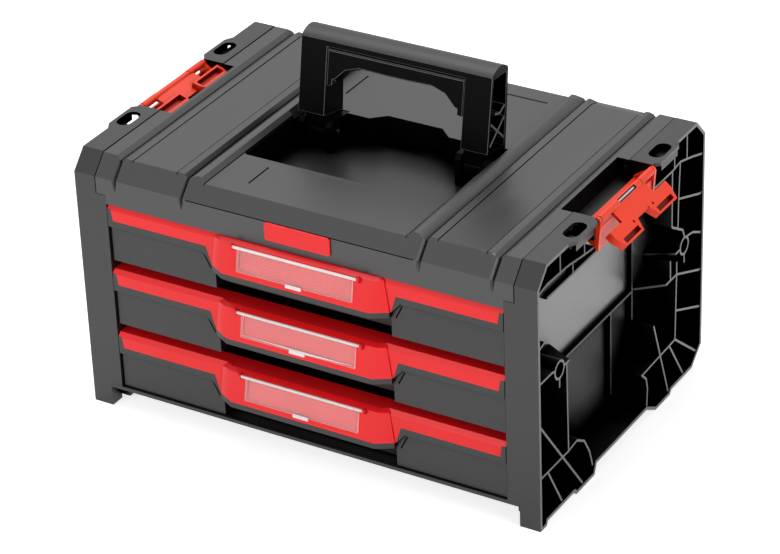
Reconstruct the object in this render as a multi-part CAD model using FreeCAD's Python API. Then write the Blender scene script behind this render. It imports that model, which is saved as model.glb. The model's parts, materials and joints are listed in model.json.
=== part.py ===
import FreeCAD, Part
import math
import os

# Stackable tool box with three drawers, in millimetres.
# X runs across the front, -Y is the front, Z is up, and the floor is z = 0.
Vector = FreeCAD.Vector

# Case
case_width = 450.0            # over the two top strips
case_depth = 306.0
cover_height = 41.5           # foot of the cover's front to the top strips
chamfer_run = 16.0            # bevel along the front and back top edges
chamfer_drop = 17.0
shell = 2.8                   # moulded walls of the cover and panels
seam_gap = 0.1                # between fixed mouldings
wing_gap = 0.5                # under the cover's wings
running_gap = 0.7             # between a drawer and the case

# Drawer stack
drawer_count = 3
drawer_pitch = 63.75
front_height = 55.3           # foot of a drawer's side panels to the top of its red front
sill_top = 22.3               # top of the rail under the lowest drawer

# Side frames
column_width = 31.0           # front face of a corner column
strip_width = 21.0            # top strip, outside the cover
rim_wall = 3.0
web_inset = 28.4              # case side to the inner face of the web
web_wall = 2.0
rib_wall = 2.0
rib_inset = 0.8               # rib edges lie this far inside the rim's edge
ledge_width = 2.4             # seat under the cover's edge
foot_width = 19.5
foot_depth = 11.0
rim_rise = 4.0                # low rim above the floor
rail_rise = 10.0              # middle rail above the floor
front_tab = (-89.0, -56.0)    # stacking tabs that reach the floor
back_tab = (60.0, 88.0)
back_toe = (19.0, 16.0)       # bevel at the back foot, along Y and Z
collar_lap = 10.0             # cover wing above its stepped foot
boss_setback = 37.5           # screw barrels, in from the front and the back
boss_z = 137.5
boss_radius = 9.0
boss_bore = 6.8
boss_sides = 18
fin_reach = 17.0
fin_sweep = 14.0              # a fin's foot on the web lies this much nearer the middle
low_rib = 4.5                 # ribs that frame the plain panel of the web
panel_foot = 116.0            # the plain panel's lower and upper edge
panel_head = 189.5
panel_back = 57.0             # back edge of the plain panel, and the rib below it
panel_rib = 17.0
gusset_back = 101.5           # slanted rib behind the panel's lower edge
gusset_sweep = 23.0

# Stacking ears and their slots
ear_reach = 4.5               # ears stand out past the strips
ear_height = 3.2
ear_start = 53.5
ear_end = 100.0
slot_x_inset = 6.0            # case side to the slot's centre
slot_y = 77.0
slot_length = 27.0
slot_width = 14.0
slot_depth = 8.0
slot_ramp_thick = 2.0
slot_wall_thick = 1.8
slot_wall_inset = 1.4         # ear's edge to the wall under it

bottom_rib_pitch = 95.0       # ribs under the floor

# Side latches
notch_half = 51.0
notch_depth = 18.5            # top strip down to the shelf
shelf_wall = 2.5
shelf_reach = 11.5            # case side to the shelf's outer edge
latch_drop = 4.0              # strip top down to the hinge line
latch_out = 0.3               # hinge line outside the case side
latch_reach = 31.5
latch_plate = 3.0
tooth_depth = 7.5
tooth_start = 14.0
tooth_inner = 10.5
plate_reach = 21.0
plate_half = 29.0
barrel_radius = 3.5
barrel_start = 25.0
root_radius = 3.0
latch_ear = 3.6
latch_side_gap = 0.4
latch_pin_radius = 1.7
pin_clearance = 0.05
latch_window = (1.9, 15.0)    # half width and half length of the slot over the pin
tooth_taper = 4.5             # outer corners of the teeth are cut back this far
tooth_pocket = (25.0, 29.5, 4.0)  # finger pocket in a tooth's top: start, end and depth
tooth_hole = 1.4
base_plate = 2.6              # outside plate of the hinge base
base_drop = 13.0              # its foot below the shelf
base_plate_gap = 7.5          # its top below the hinge line
open_angle = -39.0            # right latch, hanging open
folded_angle = 197.0          # latch folded into its notch

# Cover: the relief of its top as (distance along its width, drop below the strips)
middle_drop = 4.3             # middle field in front of the pocket and behind it
back_field_drop = 8.2
rail_relief = [                # outwards from the pocket's rim
    (5.0, 0.8), (10.0, 0.8), (18.0, 5.0), (21.5, 1.2), (23.7, 1.2), (29.0, 4.8)]
field_margin = 0.3            # middle field beyond the pocket's sides
edge_relief = [                # back from the seam beside a strip
    (32.0, 4.8), (28.0, 1.3), (25.0, 1.3), (20.0, 5.6), (15.0, 0.5)]
cover_edge_drop = 0.5
cover_groove_half = 3.6
cover_groove_depth = 2.2
cover_groove_foot = 11.5      # grooves end this far below the bevel
skirt_wall = 2.6
line_width = 0.9              # sharp grooves along the feet and valleys of the relief
line_depth = 1.3

# Handle and its pocket
pivot_y = 14.0
handle_side_gap = 4.0         # leg to the pocket's side wall
pivot_drop = 18.0             # strip top down to the hinge line
handle_half = 94.0
leg_width = 26.0
lug_radius = 14.0
lug_front = 12.2              # lugs: front edge ahead of the hinge line, and flat top above it
lug_top = 12.0
lug_corner = 4.2
lug_gap = 0.8
lug_wall = 5.8
lug_inset = 4.8               # outer lugs inside the legs' outer faces
hub_radius = 9.0
hub_gap = 0.5
handle_pin_radius = 2.0
handle_pin_head = 3.4
handle_pin_proud = 0.8
handle_shell = 3.0
grip_crown = 92.4             # hinge line to the top of the grip
grip_corner = 1.0             # bevel at the ends of the crown
grip_depth = 28.5             # crown to the top of the hand opening
recess_top = 11.4             # crown to the shallow panel in the front of the grip
recess_depth = 0.8
recess_groove = (3.4, 1.2, 2.6)  # deeper groove round the panel: top and side width, depth
grip_flare = (4.0, 6.0)       # bevel round the hand opening: width and depth
fold_gap = 2.1
pocket_wall = 2.5
pocket_floor_drop = 16.7      # hinge line down to the pocket's floor
pocket_corner = 2.5
pocket_back = 34.8            # back wall behind the legs
pocket_near = 31.0            # nearer back wall between the legs
pocket_bay = (42.5, 39.8, 27.2)  # deeper bay in the middle: place and two half widths

# Plain badge plate
badge_width = 64.0
badge_height = 17.0
badge_drop = 0.6
badge_wall = 1.6
badge_corner = 1.6

# Drawers: heights above a drawer's foot, depths measured from the case's front
tray_wall = 2.4
tray_drop = 3.3               # top of the red front down to the tray's rim
tray_end_gap = 28.0           # back of a tray to the back of the case
finger_depth = 16.0           # case front to the wall behind the finger room
panel_setback = 2.5
panel_wall = 3.0
panel_slit = ((91.0, 18.5), (97.4, 31.3))  # slit near a panel's inner top corner
face_proud = 0.3              # rims and red wings stand out this far
wing_foot = 40.8
band_foot = 34.5
wing_bevel = (4.3, 3.3)       # bevel along a wing's top, as height and depth
wing_tip = 5.3
bulge_half = 87.0
bulge_bevel = 15.0            # width of the slanted side at the foot
bulge_foot = 24.5
brow_drop = 2.3
bulge_reach = 10.0            # foot of the bulge in front of the case
brow_reach = 5.0
wing_slope = 6.0              # sideways run of the rim beside the bulge
lip_height = 5.3
lip_wall = 3.0
red_wall = 2.6

# Label cover
hinge_drop = 1.6              # brow down to the hinge line
hinge_radius = 1.3
hinge_bar = 3.8               # bar beyond the flap, each side
hinge_stub = 2.0              # bar inside each ear
hinge_ear = 2.4
hinge_ear_half = 2.2
label_gap = 0.4
label_half = 56.5
label_drop = (1.2, 21.4)      # from the hinge line down the face
label_plate = 1.4
label_tab_half = 7.5
label_recess = 0.8

# Telescopic slides
slide_length = 250.0
slide_height = 35.0
slide_thick = 12.7
slide_sheet = 1.2
slide_centre = 26.0           # above the drawer's foot
slide_setback = 7.0           # case front to the slides
ball_gap = 0.35
slide_flange = 8.9            # flange width of the middle member
middle_step = 3.25            # step in half height from the outer member to the middle one
inner_step = 3.7
inner_lip = 3.0
outer_web_gap = 0.8
inner_flange = 8.5
inner_wall_thick = 2.4

# Screws
screw_head = 4.5
screw_head_height = 2.8
screw_radius = 2.0
slide_screw_head = 3.2
slide_head_height = 0.9
slide_screw_radius = 1.6
slide_screw_ends = 35.0

# Worked out from the sizes above
half_width = case_width / 2
half_depth = case_depth / 2
opening_half = half_width - column_width
seam_half = half_width - strip_width
web_in = half_width - web_inset
web_out = web_in + web_wall
rib_edge = half_width - rib_inset
boss_y = half_depth - boss_setback
first_foot = sill_top + running_gap
last_foot = first_foot + (drawer_count - 1) * drawer_pitch
cover_foot = last_foot + front_height + running_gap
case_top = cover_foot + cover_height
bevel_foot = case_top - chamfer_drop
bevel_slope = chamfer_run / chamfer_drop
wing_step = cover_foot + collar_lap - 2.0
sill_foot = sill_top - 3.4
floor_top = sill_top - 1.0
inner_face = opening_half + seam_gap
shelf_top = case_top - notch_depth
latch_x = half_width + latch_out
latch_z = case_top - latch_drop
notch_inner = latch_x - math.hypot(latch_reach, tooth_depth) - 0.8
pivot_z = case_top - pivot_drop
pocket_half = handle_half + handle_side_gap
pocket_floor = pivot_z - pocket_floor_drop
pocket_front = pivot_y - grip_crown - fold_gap
pocket_rim = case_top - middle_drop
leg_inner = handle_half - leg_width
cover_section = (             # place along the width, drop in front and behind
    [(0.0, middle_drop, back_field_drop), (pocket_half + field_margin, middle_drop, back_field_drop)]
    + [(pocket_half + x, drop, drop) for x, drop in rail_relief]
    + [(seam_half - x, drop, drop) for x, drop in edge_relief] + [(seam_half, cover_edge_drop, cover_edge_drop)])
cover_groove_x = (pocket_half + rail_relief[2][0], seam_half - edge_relief[3][0])
cover_lines = (               # place along the width of each sharp groove, and the drop there
    (pocket_half + field_margin, middle_drop), (pocket_half + rail_relief[2][0], rail_relief[2][1]),
    (pocket_half + rail_relief[-1][0], rail_relief[-1][1]), (seam_half - edge_relief[0][0], edge_relief[0][1]),
    (seam_half - edge_relief[3][0], edge_relief[3][1]))
lug_inner = leg_inner - hub_gap - lug_wall
drawer_half = opening_half - running_gap
tray_half = inner_face - slide_thick
tray_height = front_height - tray_drop
tray_back = half_depth - tray_end_gap
tray_front = finger_depth - half_depth
panel_face = panel_setback - half_depth
panel_inside = panel_face + panel_wall
face_y = -half_depth - face_proud
wing_shoulder = front_height - wing_bevel[0]
wing_back = face_y + wing_bevel[1]
wing_end = drawer_half - wing_tip
wing_corner = bulge_half + wing_slope
panel_inner = bulge_half - 0.5
bulge_brow = front_height - brow_drop
bulge_front = bulge_half - bulge_bevel
bulge_low = ((bulge_half, face_y - 1.2), (bulge_front, -half_depth - bulge_reach))
bulge_high = ((bulge_half - 4, face_y - 0.7), (bulge_front + 2, -half_depth - brow_reach))
bulge_top = ((bulge_half - 7, face_y + 2.3), (bulge_front + 2.5, face_y - 0.2))
hinge_z = bulge_brow - hinge_drop
hinge_half = label_half + hinge_bar
slide_front = slide_setback - half_depth


def block(x, y, z):
    """Box between two limits along each axis."""
    corner = Vector(min(x), min(y), min(z))
    return Part.makeBox(abs(x[1] - x[0]), abs(y[1] - y[0]), abs(z[1] - z[0]), corner)


def placed(axis, a, b, along):
    """Point with two coordinates in a plane and the third along the plane's axis."""
    if axis == "x":
        return Vector(along, a, b)
    if axis == "y":
        return Vector(a, along, b)
    return Vector(a, b, along)


def outline_wire(axis, outline, along):
    corners = [placed(axis, a, b, along) for a, b in outline]
    return Part.makePolygon(corners + corners[:1])


def prism(axis, outline, low, high):
    """Outline in the plane across an axis, carried from one place to another along it."""
    face = Part.Face(outline_wire(axis, outline, low))
    return face.extrude(placed(axis, 0, 0, high - low))


def rod(axis, centre, radius, low, high):
    base = placed(axis, centre[0], centre[1], low)
    return Part.makeCylinder(radius, high - low, base, placed(axis, 0, 0, 1))


def arc_points(centre, radius, start, end, steps):
    """Points on an arc between two angles in degrees."""
    turns = [math.radians(start + (end - start) * i / steps) for i in range(steps + 1)]
    return [(centre[0] + radius * math.cos(t), centre[1] + radius * math.sin(t)) for t in turns]


def sided(axis, centre, radius, low, high, sides=6):
    """Rod with flat sides: six for screws and the holes they fill."""
    return prism(axis, arc_points(centre, radius, 0, 360 - 360 / sides, sides - 1), low, high)


def polygon(corners):
    return Part.Face(Part.makePolygon(corners + corners[:1]))


def spanning_faces(a, b, c, d):
    """Faces on four corners: one where they lie in one plane, two triangles where they don't."""
    normal = (b - a).cross(c - a)
    if abs(normal.normalize().dot(d - a)) < 1e-6:
        return [polygon([a, b, c, d])]
    return [polygon([a, b, c]), polygon([a, c, d])]


def skinned(rings):
    """Solid with flat faces through rings of corners."""
    faces = [polygon(rings[0]), polygon(rings[-1])]
    for lower, upper in zip(rings, rings[1:]):
        for i in range(len(lower)):
            faces += spanning_faces(lower[i - 1], lower[i], upper[i], upper[i - 1])
    solid = Part.Solid(Part.Shell(faces))
    if solid.Volume < 0:
        solid.reverse()
    return solid


def ruled(axis, sections):
    """Solid with straight sides through outlines given as (place, outline)."""
    return skinned([[placed(axis, a, b, along) for a, b in outline] for along, outline in sections])


def joined(shapes):
    return shapes[0].fuse(shapes[1:]).removeSplitter()


def mirrored(shape):
    return shape.mirror(Vector(0, 0, 0), Vector(1, 0, 0))


def turned_back(outline):
    """The same outline for the other half of the depth."""
    return [(-y, z) for y, z in outline]


def unit(start, end):
    dx = end[0] - start[0]
    dy = end[1] - start[1]
    length = math.hypot(dx, dy)
    return dx / length, dy / length


def mitre(before, after, amount):
    """Shift of a corner between two directions, so that both edges move by the amount."""
    scale = amount / (1 + before[0] * after[0] + before[1] * after[1])
    return -scale * (before[1] + after[1]), scale * (before[0] + after[0])


def inset(outline, amount):
    """Closed outline with every edge moved inwards."""
    count = len(outline)
    area = sum(outline[i - 1][0] * outline[i][1] - outline[i][0] * outline[i - 1][1] for i in range(count))
    inward = amount if area > 0 else -amount
    moved = []
    for i, corner in enumerate(outline):
        before = unit(outline[i - 1], corner)
        after = unit(corner, outline[(i + 1) % count])
        shift = mitre(before, after, inward)
        moved.append((corner[0] + shift[0], corner[1] + shift[1]))
    return moved


def ribbon(path, thick):
    """Closed outline of a rib of even thickness along an open path."""
    sides = []
    for side in (thick / 2, -thick / 2):
        line = []
        for i, point in enumerate(path):
            after = unit(path[i], path[i + 1]) if i < len(path) - 1 else unit(path[i - 1], path[i])
            before = unit(path[i - 1], path[i]) if i > 0 else after
            shift = mitre(before, after, side)
            line.append((point[0] + shift[0], point[1] + shift[1]))
        sides.append(line)
    return sides[0] + sides[1][::-1]


def ring(axis, outline, inner, low, high):
    return prism(axis, outline, low, high).cut(prism(axis, inner, low - 1, high + 1))


# Side frames: one moulding a side, with columns, top strip, ears, web and ribs

def frame_outline():
    """Side view of a frame as (y, z), with its foot, tabs and bevels."""
    front = -half_depth
    back = half_depth
    return [
        (front, 0), (front + foot_depth, 0), (front + foot_depth + 2, rim_rise),
        (front_tab[0] - 4, rim_rise), (front_tab[0], 0), (front_tab[1], 0), (front_tab[1] + 4, rail_rise),
        (back_tab[0] - 18, rail_rise), (back_tab[0], 0), (back_tab[1], 0), (back_tab[1] + 3, rim_rise),
        (back - back_toe[0] - 2, rim_rise), (back - 2, rim_rise + back_toe[1]), (back, bevel_foot),
        (back - chamfer_run, case_top), (front + chamfer_run, case_top), (front, bevel_foot)]


def frame_ribs():
    """Paths of the ribs as (y, z), as seen from the side."""
    rim = half_depth - 1.5
    wall = rim - 50.5
    top = case_top - 1.5
    mid = top - 57
    crown_z = top - 24
    barrel_top = (boss_y, boss_z + boss_radius)
    loop_high = [(wall + 5, crown_z + 2), (wall + 2.5, mid), (wall + 1.5, boss_z + 22)]
    elbow = [
        (wall - 10, crown_z), (wall - 10, mid - 21), (wall - 8, mid - 23), (boss_y - 3, boss_z + 17), barrel_top]
    loop_low = [
        (wall, boss_z - 9), (wall, panel_foot), (wall - 2, 51), (35, 49), (43, 41), (45.5, 30), (44, rail_rise + 1)]
    arch = [(-rim, 50.5), (-wall, 50), (-86, 52), (-73, 44), (-63.5, 28), (-58, rail_rise + 1)]
    back_crown = [
        (rim, top - 35.5), (rim - 2, top - 34.5), (rim - 21, top - 28.5), (wall + 5, crown_z + 2),
        (wall - 9, crown_z), (notch_half + 2, crown_z)]
    front_crown = [
        (-rim, top - 21), (-rim + 17, top - 18), (-wall + 2, top - 19.5), (-rim + 81, top - 23.5),
        (-notch_half - 2, top - 25.5)]
    return [
        loop_high, elbow, loop_low, arch, back_crown, front_crown,
        [(-wall - 2, boss_z), (-wall, 50)], [(-rim, 103), (-76, 3)], [(-rim + 14, 50), (-wall - 11, 5)],
        [(wall + 18, top), (wall + 18, top - 25)], [(wall - 6, top), (wall - 6, top - 23)],
        [(-boss_y + 3, top), (-boss_y + 3, top - 18)], [(-rim + 81, top - 10), (-rim + 81, top - 23)],
        [(wall + 2.5, mid), (rim - 6, mid - 15), (rim, mid - 15)],
        [(boss_y + 5, boss_z + 7), (rim - 19, boss_z + 5), (rim - 5, boss_z - 2), (rim, boss_z - 2)],
        [(wall, panel_foot), (rim - 6, 98), (rim, 97)], [(wall - 1, 80), (rim, 58)],
        [(wall - 2, 51), (rim - 6, 13)], [(88, 50), (wall + 16, 5)], [(panel_back, 87), (87, 2)],
        [(80, panel_foot), (wall, panel_foot)], [(wall - 12.5, boss_z - 2), (wall - 12, panel_foot)],
        [(-rim, 174), (-rim + 11, 177)], [(-rim, boss_z + 4), (-boss_y - 13, boss_z + 4), (-boss_y - 6, boss_z + 2)]]


def panel_ribs():
    """Low ribs that frame the plain panel of the web, and stand below it."""
    low = web_out - 0.5
    high = web_out + low_rib
    front = -half_depth + 56
    half = rib_wall / 2
    ribs = [block((low, high), (front, panel_back), (z - half, z + half)) for z in (panel_foot, panel_head)]
    ribs.append(block((low, high), (panel_back - half, panel_back + half), (panel_foot - 44, panel_head)))
    ribs.append(block((low, high), (panel_rib - half, panel_rib + half), (panel_foot - 82, panel_foot)))
    ribs.append(block((low, high), (-notch_half - half, -notch_half + half), (panel_head, panel_head + 32)))
    return ribs


def stacking_ear(side):
    """Ear round a stacking slot, at the front or the back."""
    inner = seam_half + 2
    outer = half_width
    outline = [
        (inner, ear_start), (outer, ear_start), (outer + ear_reach, ear_start + 4),
        (outer + ear_reach, ear_end - 8), (outer, ear_end), (inner, ear_end)]
    outline = [(x, side * y) for x, y in outline]
    return prism("z", outline, case_top - ear_height, case_top)


def stacking_slot(side):
    """Round-ended slot through an ear."""
    x = half_width - slot_x_inset
    radius = slot_width / 2
    straight = slot_length / 2 - radius
    middle = side * slot_y
    outline = arc_points((x, middle + straight), radius, 0, 180, 6)
    outline += arc_points((x, middle - straight), radius, 180, 360, 6)
    return prism("z", outline, case_top - ear_height - 1, case_top + 1)


def slot_wall(side):
    """Wall that hangs under an ear and closes the outer side of its slot."""
    low = side * (slot_y - slot_length / 2 - slot_wall_thick)
    high = side * (slot_y + slot_length / 2 + slot_wall_thick)
    outer = half_width + ear_reach - slot_wall_inset
    return block((outer - slot_wall_thick, outer), (low, high), (case_top - slot_depth - 2, case_top - ear_height / 2))


def slot_ramp(side):
    """Shelf under a slot that a hook slides onto."""
    z = case_top - slot_depth
    return block(
        (web_out - 0.5, half_width - 1), (side * slot_y, side * (slot_y + slot_length / 2 + 5)),
        (z, z + slot_ramp_thick))


def side_frame():
    """Right-hand frame; the left one is its mirror image."""
    outline = frame_outline()
    cover_wall = cover_edge_drop + shell + 0.05
    pieces = [
        ring("x", outline, inset(outline, rim_wall), web_in, half_width),
        prism("x", inset(outline, rim_wall / 2), web_in, web_out)]
    ledge = ring("x", inset(outline, rim_wall), inset(outline, cover_wall + ledge_width), web_in, seam_half + 3)
    pieces.append(ledge.common(block((web_in, half_width), (-half_depth, half_depth), (wing_step, case_top))))
    for side in (-1, 1):
        column = block(
            (opening_half, web_out), (side * half_depth, side * (half_depth - rim_wall)),
            (sill_top + seam_gap, wing_step))
        pieces.append(column)
        pieces.append(stacking_ear(side))
        pieces.append(slot_ramp(side))
        pieces.append(slot_wall(side))
    for path in frame_ribs():
        pieces.append(prism("x", ribbon(path, rib_wall), web_out - 0.5, rib_edge))
    gusset = [
        (web_out - 0.5, panel_back), (rib_edge, panel_back + gusset_sweep), (rib_edge, gusset_back),
        (web_out - 0.5, gusset_back)]
    pieces.append(prism("z", gusset, panel_foot - rib_wall / 2, panel_foot + rib_wall / 2))
    pieces += panel_ribs()
    for side in (-1, 1):
        centre = side * boss_y
        pieces.append(sided("x", (centre, boss_z), boss_radius, web_out - 0.5, rib_edge, boss_sides))
        fin = [
            (web_out - 0.5, centre), (rib_edge, centre), (rib_edge, centre - side * fin_reach),
            (web_out - 0.5, centre - side * (fin_reach + fin_sweep))]
        pieces.append(prism("z", fin, boss_z - rib_wall / 2, boss_z + rib_wall / 2))
        pieces.append(block(
            (web_out - 0.5, rib_edge), (centre - rib_wall / 2, centre + rib_wall / 2),
            (boss_z - fin_reach, boss_z)))
    frame = joined(pieces)
    cuts = [
        ring("x", outline, inset(outline, cover_wall), opening_half - 1, seam_half + 0.05).common(
            block((0, half_width), (-half_depth, half_depth), (wing_step, case_top))),
        block((opening_half - 5, half_width - foot_width), (-half_depth - 1, -half_depth + foot_depth + 3),
              (-1, sill_top + seam_gap)),
        block((opening_half - 10, half_width + 10), (-notch_half, notch_half), (shelf_top, case_top + 1))]
    for side in (-1, 1):
        centre = (side * boss_y, boss_z)
        cuts.append(sided("x", centre, boss_bore, web_out, half_width, boss_sides))
        cuts.append(sided("x", centre, screw_radius + pin_clearance, web_in - 1, half_width))
        cuts.append(stacking_slot(side))
    frame = frame.cut(cuts)
    foot_in = half_width - foot_width
    foot = [
        block((foot_in, foot_in + rib_wall), (-half_depth, -half_depth + foot_depth + 3), (0, sill_top + 2)),
        block((foot_in, half_width), (-half_depth, -half_depth + foot_depth), (0, rim_wall))]
    shelf_in = notch_inner - skirt_wall
    shelf = [block(
        (shelf_in, half_width - shelf_reach), (-notch_half - 2.5, notch_half + 2.5),
        (shelf_top - shelf_wall, shelf_top))]
    for side in (-1, 1):
        shelf.append(block(
            (seam_half + seam_gap, half_width - 1), (side * notch_half, side * (notch_half + 2.5)),
            (shelf_top - shelf_wall, case_top - 2)))
    return joined([frame] + shelf + foot)


def inner_wall():
    """Flat wall that lines a side frame and carries the slides."""
    wall = block(
        (inner_face, inner_face + inner_wall_thick), (-half_depth + rim_wall + seam_gap, half_depth - shell - 3),
        (floor_top, shelf_top - shelf_wall - seam_gap))
    for side in (-1, 1):
        wall = wall.cut(sided(
            "x", (side * boss_y, boss_z), screw_radius + pin_clearance, inner_face + 0.4,
            inner_face + inner_wall_thick + 1))
    for number in range(drawer_count):
        for y in slide_screw_places():
            wall = wall.cut(sided(
                "x", (y, first_foot + number * drawer_pitch + slide_centre), slide_screw_radius + pin_clearance,
                inner_face - 1, inner_face + inner_wall_thick - 0.3))
    return wall


# Cover, back and bottom

def cover_half_profile(drop):
    """Outer and inner line of the cover's front half, up to the middle of the pocket."""
    top = case_top - drop
    front = -half_depth
    outer = [(front, cover_foot), (front, bevel_foot), (front + (top - bevel_foot) * bevel_slope, top), (-1, top)]
    inner_foot = bevel_foot - shell * (math.hypot(1, 1 / bevel_slope) - 1 / bevel_slope)
    inner_top = top - shell
    inner = [
        (front + shell, cover_foot), (front + shell, inner_foot),
        (front + shell + (inner_top - inner_foot) * bevel_slope, inner_top), (-1, inner_top)]
    return outer, inner


def cover_profile(front_drop, back_drop):
    """Section of the cover along the depth; the step in the middle is cut away by the pocket."""
    outer, inner = cover_half_profile(front_drop)
    back_outer, back_inner = cover_half_profile(back_drop)
    return outer + turned_back(back_outer)[::-1] + turned_back(back_inner) + inner[::-1]


def cover_line(x, drop):
    """Sharp groove that runs from the front to the back of the top."""
    return block(
        (x - line_width / 2, x + line_width / 2), (-half_depth, half_depth),
        (case_top - drop - line_depth, case_top + 1))


def cover_groove(x, side):
    """V groove that runs down the bevel and fades out on the front or back face."""
    half = cover_groove_half
    deep = cover_groove_depth
    run = math.hypot(chamfer_run, chamfer_drop)
    normal = (chamfer_drop / run, -chamfer_run / run)
    lift = 1.0
    top = (-half_depth + chamfer_run, case_top)
    foot = (-half_depth, bevel_foot)

    def triangle(centre, out, depth):
        points = [
            (x - half, centre[0] - out[0] * lift, centre[1] - out[1] * lift),
            (x + half, centre[0] - out[0] * lift, centre[1] - out[1] * lift),
            (x, centre[0] + out[0] * depth, centre[1] + out[1] * depth)]
        return [Vector(px, -side * py, pz) for px, py, pz in points]

    fold = (normal[0] + 0.35, normal[1] + 0.35)
    end = (-half_depth, bevel_foot - cover_groove_foot)
    return skinned([triangle(top, normal, deep), triangle(foot, fold, deep), triangle(end, (1, 0), 0.1)])


def pocket_outline():
    """Plan of the handle pocket as (x, y)."""
    right = [
        (pocket_half - pocket_corner, pocket_front), (pocket_half, pocket_front + pocket_corner),
        (pocket_half, pocket_back), (lug_inner, pocket_back), (lug_inner, pocket_near),
        (pocket_bay[1], pocket_near), (pocket_bay[2], pocket_bay[0])]
    return right + [(-x, y) for x, y in reversed(right)]


def handle_lugs():
    """Two pairs of lugs on the pocket's floor, with the hinge bores."""
    front = pivot_y - lug_front
    top = pivot_z + lug_top
    root = pocket_floor - 1
    nose = [(front, root), (front, top - lug_corner), (front + lug_corner, top)]
    back = pocket_back + 1
    inner = nose + [(pivot_y + 2, top), (back, case_top - back_field_drop - 0.5), (back, root)]
    back = pivot_y + lug_front
    outer = nose + [(back - lug_corner, top), (back, top - lug_corner), (back, root)]
    outer_at = handle_half - lug_inset
    return [prism("x", inner, lug_inner, lug_inner + lug_wall), prism("x", outer, outer_at, outer_at + lug_wall)]


def top_cover():
    slices = []
    for (x0, *drops0), (x1, *drops1) in zip(cover_section, cover_section[1:]):
        slices.append(ruled("x", [(x0, cover_profile(*drops0)), (x1, cover_profile(*drops1))]))
    half = joined(slices)
    cover = joined([half, mirrored(half)])
    outline = pocket_outline()
    cover = cover.cut(prism("z", outline, pocket_floor, case_top + 5))
    tub = prism("z", inset(outline, -pocket_wall), pocket_floor - pocket_wall, pocket_rim - shell / 2)
    tub = tub.cut(block(
        (-pocket_half - 10, pocket_half + 10), (0, half_depth), (case_top - back_field_drop - shell / 2, case_top)))
    tub = tub.cut(prism("z", outline, pocket_floor, case_top + 5))
    lugs = handle_lugs()
    pieces = [cover, tub] + lugs + [mirrored(lug) for lug in lugs]
    skirt = [block(
        (notch_inner - skirt_wall, notch_inner), (-notch_half - 2.5, notch_half + 2.5),
        (shelf_top + seam_gap, case_top - shell / 2 - 1.5))]
    pieces += skirt + [mirrored(wall) for wall in skirt]
    cover = joined(pieces)
    cuts = [
        rod("x", (pivot_y, pivot_z), handle_pin_radius + pin_clearance, -handle_half - 5, handle_half + 5)]
    notch = block((notch_inner, half_width), (-notch_half, notch_half), (shelf_top - 5, case_top + 5))
    wing = block(
        (opening_half - seam_gap, half_width), (-half_depth - 1, half_depth + 1),
        (cover_foot - 5, wing_step + wing_gap))
    outline = frame_outline()
    seam = ring("x", inset(outline, -1), inset(outline, line_depth), seam_half - line_width, half_width)
    grooves = [cover_groove(x, side) for x in cover_groove_x for side in (-1, 1)]
    lines = [cover_line(x, drop) for x, drop in cover_lines]
    for tool in [notch, wing, seam] + grooves + lines:
        cuts += [tool, mirrored(tool)]
    return cover.cut(cuts)


def back_panel():
    face_out = half_depth - 0.4
    face_in = face_out - shell
    edge = opening_half - seam_gap
    panel = joined([
        block((-edge, edge), (face_in - shell, face_in), (floor_top, cover_foot + 6)),
        block((-edge + 3, edge - 3), (face_in, face_out), (floor_top + 2, cover_foot - seam_gap))])
    grooves = []
    for x in (-cover_groove_x[0], cover_groove_x[0]):
        grooves.append(block((x - 2, x + 2), (face_out - 1.2, face_out + 1), (40, cover_foot - 20)))
    return panel.cut(grooves)


def bottom_panel():
    edge = web_in - seam_gap
    foot_edge = half_width - foot_width - seam_gap
    front = -half_depth
    back = half_depth - 0.4 - shell
    pieces = [
        block((-edge, edge), (front + rim_wall, back), (sill_foot, floor_top)),
        block((-foot_edge, foot_edge), (front, front + rim_wall), (sill_foot, sill_top))]
    for step in (-1, 0, 1):
        x = step * bottom_rib_pitch
        pieces.append(block(
            (x - rib_wall / 2, x + rib_wall / 2), (front + 14, back - 12), (sill_foot - 6, sill_foot)))
    return joined(pieces)


def badge():
    top = bevel_foot - badge_drop
    right = badge_width / 2
    foot = top - badge_height
    corner = badge_corner
    half = [(right - corner, foot), (right, foot + corner), (right, top - corner), (right - corner, top)]
    outline = half + [(-x, z) for x, z in reversed(half)]
    return prism("y", outline, -half_depth - badge_wall, -half_depth)


# Handle

def handle_side():
    """Side view of the handle as (y, z) from the hinge line, leaning back at rest."""
    return [
        (-0.2, grip_crown - 6.1), (-12.2, 19.0), (19.7, 11.0), (27.7, grip_crown - 7.7)]


def grip_panel(reach, top_z, depth):
    """Room sunk in the front of the grip to a depth, between two places across and below a height."""
    top, low = handle_side()[:2]
    run = unit(low, top)
    inward = (run[1], -run[0])
    slab = prism("x", [
        (pivot_y + y + inward[0] * deep, pivot_z + z + inward[1] * deep)
        for (y, z), deep in ((low, -2), (top, -2), (top, depth), (low, depth))], -reach, reach)
    return slab.common(block((-reach, reach), (-half_depth, half_depth), (top_z - 35, top_z)))


def grip_recess():
    """Shallow panel in the front of the grip, inside a deeper groove."""
    top_z = pivot_z + grip_crown - recess_top
    top_width, side_width, groove_depth = recess_groove
    groove = grip_panel(leg_inner, top_z, groove_depth).cut(
        grip_panel(leg_inner - side_width, top_z - top_width, groove_depth + 1))
    return [grip_panel(leg_inner, top_z, recess_depth), groove]


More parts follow.
